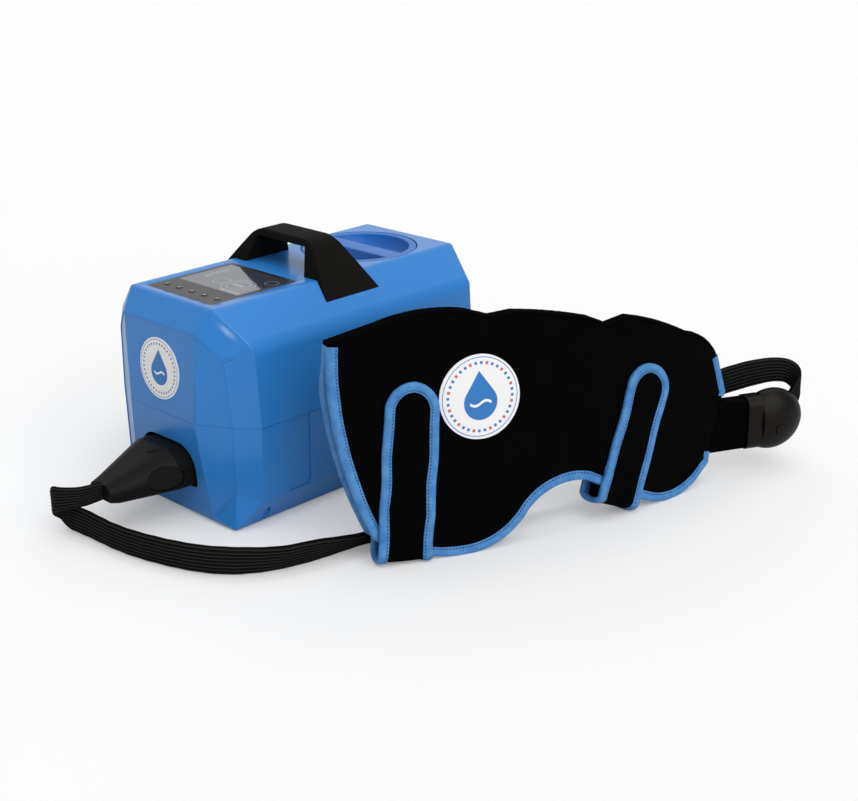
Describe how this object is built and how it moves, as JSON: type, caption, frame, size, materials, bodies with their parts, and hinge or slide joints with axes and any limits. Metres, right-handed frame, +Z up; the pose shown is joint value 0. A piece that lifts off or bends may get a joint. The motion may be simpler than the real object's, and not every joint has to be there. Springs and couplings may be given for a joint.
{
  "type": "hot cold therapy machine",
  "caption": "Portable water tank unit with a carrying handle and display, a flat woven hose, and a curved fabric wrap with closing straps.",
  "frame": {"origin": "middle of the machine's footprint on the surface it stands on", "axes": "+Z up; -Y is the machine's front with the hose socket; +X is the machine's right, where the wrap stands"},
  "size_m": [0.5538, 0.7109, 0.272],
  "materials": {
    "housing_blue": "glossy moulded blue plastic",
    "black_plastic": "satin black plastic",
    "display_glass": "smoked window",
    "screen_unit": "dark screen module",
    "circuit_board": "green board",
    "button_plastic": "dark grey keys",
    "tank_plastic": "translucent white plastic",
    "neck_blue": "glossy blue plastic",
    "seal_rubber": "black rubber",
    "insulation_foam": "dark foam",
    "steel": "bright steel",
    "pump_plastic": "black pump body",
    "motor_metal": "motor can",
    "hose_silicone": "clear silicone",
    "disc_print": "white printed disc",
    "sleeve_weave": "woven black sleeve",
    "wrap_fabric": "black brushed fabric",
    "bladder_film": "welded film",
    "binding_blue": "blue edge binding"
  },
  "bodies": {
    "machine": {"upper_housing": "housing_blue", "lower_housing": "housing_blue", "handle": "black_plastic", "screws": "steel", "display_window": "display_glass", "lcd_module": "screen_unit", "control_board": "circuit_board", "key_switches": "black_plastic", "fill_neck": "neck_blue", "water_tank": "tank_plastic", "tank_insulation": "insulation_foam", "intake_filter": "tank_plastic", "heater_element": "steel", "temperature_probe": "steel", "pump_casing": "pump_plastic", "pump_motor": "motor_metal", "air_pump": "pump_plastic", "valve_body": "pump_plastic", "power_board": "circuit_board", "power_inlet": "black_plastic", "connector_socket": "black_plastic", "socket_ports": "tank_plastic", "suction_pipe": "hose_silicone", "delivery_pipe": "hose_silicone", "return_pipe": "hose_silicone", "air_line": "hose_silicone", "rubber_feet": "seal_rubber", "front_disc": "disc_print"},
    "seal": {"cap_seal": "seal_rubber"},
    "cap": {"tank_cap": "neck_blue"},
    "power_key": {"power_button": "button_plastic"},
    "mode_key": {"mode_button": "button_plastic"},
    "temperature_key": {"temperature_button": "button_plastic"},
    "time_key": {"time_button": "button_plastic"},
    "pressure_key": {"pressure_button": "button_plastic"},
    "impeller": {"pump_impeller": "pump_plastic"},
    "plunger": {"valve_plunger": "steel"},
    "hose": {"plug_lower_shell": "black_plastic", "plug_upper_shell": "black_plastic", "plug_ports": "tank_plastic", "hose_sleeve": "sleeve_weave", "hose_tubes": "hose_silicone", "coupling_dome": "black_plastic", "coupling_back_shell": "black_plastic", "coupling_ports": "tank_plastic"},
    "left_release": {"release_button_left": "black_plastic"},
    "right_release": {"release_button_right": "black_plastic"},
    "latch": {"coupling_latch": "black_plastic"},
    "wrap": {"wrap_collar": "black_plastic", "wrap_neck": "wrap_fabric", "wrap_front_panel": "wrap_fabric", "wrap_front_binding": "binding_blue", "wrap_bladder": "bladder_film", "wrap_rear_panel": "wrap_fabric", "wrap_rear_binding": "binding_blue", "wrap_patch": "disc_print"},
    "long_closure": {"long_strap": "wrap_fabric", "long_strap_binding": "binding_blue"},
    "short_closure": {"short_strap": "wrap_fabric", "short_strap_binding": "binding_blue"}
  },
  "joints": [
    {"name": "cap_lift", "type": "slide", "parent": "machine", "child": "seal", "axis": [0, 0, 1], "range_m": [0, 0.06]},
    {"name": "cap_turn", "type": "hinge", "parent": "seal", "child": "cap", "pos_m": [0, 0.094, 0.23], "axis": [0, 0, 1], "range_deg": [0, 90]},
    {"name": "power_press", "type": "slide", "parent": "machine", "child": "power_key", "axis": [0, 0, -1], "range_m": [0, 0.0008], "stiffness_N_per_m": 400, "springref_m": -0.0004},
    {"name": "mode_press", "type": "slide", "parent": "machine", "child": "mode_key", "axis": [0, 0, -1], "range_m": [0, 0.0008], "stiffness_N_per_m": 400, "springref_m": -0.0004},
    {"name": "temperature_press", "type": "slide", "parent": "machine", "child": "temperature_key", "axis": [0, 0, -1], "range_m": [0, 0.0008], "stiffness_N_per_m": 400, "springref_m": -0.0004},
    {"name": "time_press", "type": "slide", "parent": "machine", "child": "time_key", "axis": [0, 0, -1], "range_m": [0, 0.0008], "stiffness_N_per_m": 400, "springref_m": -0.0004},
    {"name": "pressure_press", "type": "slide", "parent": "machine", "child": "pressure_key", "axis": [0, 0, -1], "range_m": [0, 0.0008], "stiffness_N_per_m": 400, "springref_m": -0.0004},
    {"name": "pump_spin", "type": "hinge", "parent": "machine", "child": "impeller", "pos_m": [-0.045, 0, 0.036], "axis": [0, 1, 0], "continuous": true},
    {"name": "valve_stroke", "type": "slide", "parent": "machine", "child": "plunger", "axis": [0, 0, -1], "range_m": [0, 0.003], "stiffness_N_per_m": 300, "springref_m": -0.001},
    {"name": "plug_pull", "type": "slide", "parent": "machine", "child": "hose", "axis": [0, -1, 0], "range_m": [0, 0.07]},
    {"name": "left_release_press", "type": "slide", "parent": "hose", "child": "left_release", "axis": [0.9431, 0.3324, 0], "range_m": [0, 0.002], "stiffness_N_per_m": 500, "springref_m": -0.0005},
    {"name": "right_release_press", "type": "slide", "parent": "hose", "child": "right_release", "axis": [-0.9431, 0.3324, 0], "range_m": [0, 0.002], "stiffness_N_per_m": 500, "springref_m": -0.0005},
    {"name": "latch_press", "type": "slide", "parent": "hose", "child": "latch", "axis": [-0.8829, 0.4695, 0], "range_m": [0, 0.0015], "stiffness_N_per_m": 400, "springref_m": -0.0005},
    {"name": "coupling_pull", "type": "slide", "parent": "hose", "child": "wrap", "axis": [-0.4695, -0.8829, 0], "range_m": [0, 0.012]},
    {"name": "long_strap_open", "type": "hinge", "parent": "wrap", "child": "long_closure", "pos_m": [0.28616, -0.12087, 0.00903], "axis": [0.4991, 0.8603, -0.1037], "range_deg": [0, 90]},
    {"name": "short_strap_open", "type": "hinge", "parent": "wrap", "child": "short_closure", "pos_m": [0.37457, 0.1095, 0.02087], "axis": [0.2111, 0.8902, -0.4037], "range_deg": [0, 90]}
  ]
}
